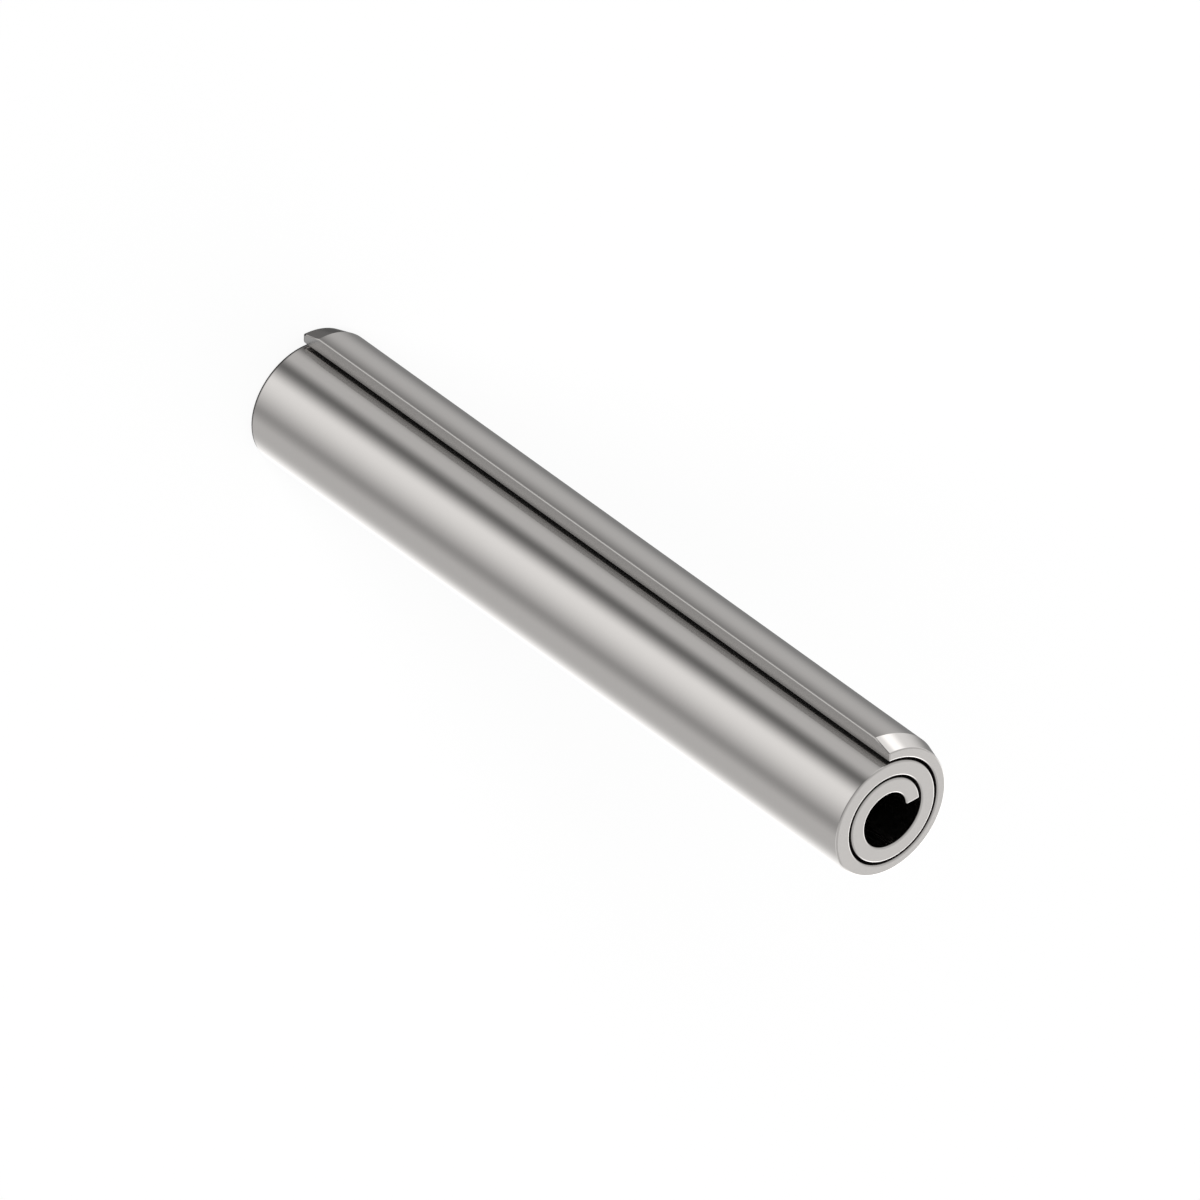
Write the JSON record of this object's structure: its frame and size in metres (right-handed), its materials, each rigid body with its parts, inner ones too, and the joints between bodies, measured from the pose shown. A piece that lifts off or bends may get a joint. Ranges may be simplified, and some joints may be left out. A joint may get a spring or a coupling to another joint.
{
  "type": "spring roll pin",
  "caption": "Spring steel strip rolled into a coiled pin with tapered ends, driven into a drilled hole to hold parts together by its own spring.",
  "frame": {"origin": "on the pin's axis at the bottom end face, the axis being the middle of the diameter measured across the strip's outer edge", "axes": "+Z along the axis, up from the end the pin stands on; +X towards the strip's outer edge, where the outside has its step; seen from +Z the strip winds clockwise and inwards from there"},
  "size_m": [0.0066, 0.0062, 0.0381],
  "materials": {
    "spring_steel": "plain satin steel, smooth, with a slight warm tone"
  },
  "bodies": {
    "root": {"spring_pin": "spring_steel"}
  },
  "joints": []
}
